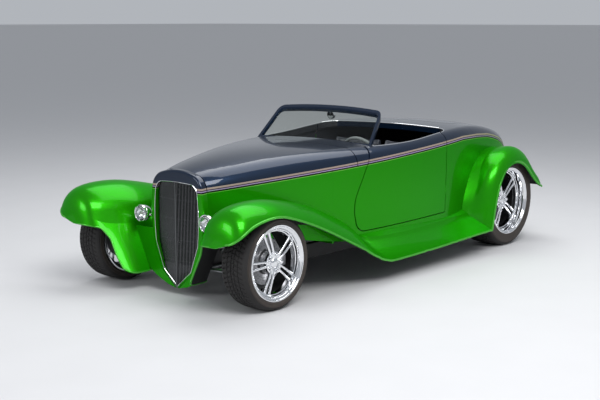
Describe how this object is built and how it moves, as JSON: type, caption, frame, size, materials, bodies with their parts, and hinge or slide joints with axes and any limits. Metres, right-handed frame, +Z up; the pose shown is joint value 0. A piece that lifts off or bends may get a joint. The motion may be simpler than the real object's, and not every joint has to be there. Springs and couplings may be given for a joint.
{
  "type": "street rod roadster",
  "caption": "Open two-seat street rod roadster with full fenders, running boards, upright grille, low windshield and steel wheels.",
  "frame": {"origin": "bottom centre of the whole car at rest, on the floor", "axes": "+X towards the nose, +Y to the driver's left, +Z up"},
  "size_m": [3.897, 1.7448, 1.1794],
  "materials": {
    "paint_green": "gloss, metallic",
    "paint_dark": "gloss",
    "frame_black": "satin",
    "chrome": "polished",
    "steel": "satin",
    "iron": "rough",
    "tyre": "matt",
    "glass": "clear",
    "lamp_red": "gloss",
    "trim_dark": "satin",
    "leather": "satin"
  },
  "bodies": {
    "chassis": {"chassis_frame": "frame_black", "floor_pan": "frame_black", "cowl": "paint_dark", "rear_body": "paint_green", "hood_sides": "paint_green", "front_fender_left": "paint_green", "front_fender_right": "paint_green", "running_boards": "paint_green", "rear_fender_left": "paint_green", "rear_fender_right": "paint_green", "grille_shell": "paint_dark", "grille_insert": "chrome", "nose_aprons": "paint_green", "front_suspension": "steel", "rear_axle": "steel", "engine_block": "iron", "radiator": "frame_black", "exhaust": "steel", "fuel_tank": "frame_black", "windshield_frame": "paint_dark", "windshield_glass": "glass", "mirror": "chrome", "dashboard": "trim_dark", "seat_cushion": "leather", "seat_back": "leather", "steering_column": "trim_dark", "headlamps": "chrome", "headlamp_lenses": "glass", "tail_lamps": "lamp_red"},
    "door_left": {"door_left": "paint_green"},
    "door_right": {"door_right": "paint_green"},
    "hood": {"hood": "paint_dark"},
    "trunk_lid": {"trunk_lid": "paint_dark"},
    "steering_wheel": {"steering_wheel": "chrome"},
    "knuckle_left": {"knuckle_left": "steel"},
    "knuckle_right": {"knuckle_right": "steel"},
    "wheel_front_left": {"rim_front_left": "chrome", "tyre_front_left": "tyre"},
    "wheel_front_right": {"rim_front_right": "chrome", "tyre_front_right": "tyre"},
    "wheel_rear_left": {"rim_rear_left": "chrome", "tyre_rear_left": "tyre"},
    "wheel_rear_right": {"rim_rear_right": "chrome", "tyre_rear_right": "tyre"}
  },
  "joints": [
    {"name": "steering_turn", "type": "hinge", "parent": "chassis", "child": "steering_wheel", "pos_m": [0.074, 0.35, 0.807], "axis": [0.9063, 0, -0.4226], "range_deg": [-336, 336]},
    {"name": "steer_left", "type": "hinge", "parent": "chassis", "child": "knuckle_left", "pos_m": [1.512, 0.655, 0.3055], "axis": [0, 0, 1], "range_deg": [-28, 28]},
    {"name": "steer_right", "type": "hinge", "parent": "chassis", "child": "knuckle_right", "pos_m": [1.512, -0.655, 0.3055], "axis": [0, 0, 1], "range_deg": [-28, 28]},
    {"name": "roll_front_left", "type": "hinge", "parent": "knuckle_left", "child": "wheel_front_left", "pos_m": [1.512, 0.6945, 0.3055], "axis": [0, 1, 0], "continuous": true},
    {"name": "roll_front_right", "type": "hinge", "parent": "knuckle_right", "child": "wheel_front_right", "pos_m": [1.512, -0.6945, 0.3055], "axis": [0, 1, 0], "continuous": true},
    {"name": "roll_rear_left", "type": "hinge", "parent": "chassis", "child": "wheel_rear_left", "pos_m": [-1.333, 0.6385, 0.365], "axis": [0, 1, 0], "continuous": true},
    {"name": "roll_rear_right", "type": "hinge", "parent": "chassis", "child": "wheel_rear_right", "pos_m": [-1.333, -0.6385, 0.365], "axis": [0, 1, 0], "continuous": true},
    {"name": "door_left_swing", "type": "hinge", "parent": "chassis", "child": "door_left", "pos_m": [-0.5585, 0.669, 0.5], "axis": [0, 0, 1], "range_deg": [0, 62]},
    {"name": "door_right_swing", "type": "hinge", "parent": "chassis", "child": "door_right", "pos_m": [-0.5585, -0.669, 0.5], "axis": [0, 0, -1], "range_deg": [0, 62]},
    {"name": "hood_lift", "type": "hinge", "parent": "chassis", "child": "hood", "pos_m": [1.575, 0, 0.835], "axis": [0, 1, 0], "range_deg": [0, 45]},
    {"name": "trunk_lift", "type": "hinge", "parent": "chassis", "child": "trunk_lid", "pos_m": [-0.957, 0, 0.998], "axis": [0, 1, 0], "range_deg": [0, 55]}
  ],
  "couplings": [
    {"joint": "steer_left", "follows": "steering_turn", "ratio": -0.083333},
    {"joint": "steer_right", "follows": "steering_turn", "ratio": -0.083333}
  ]
}
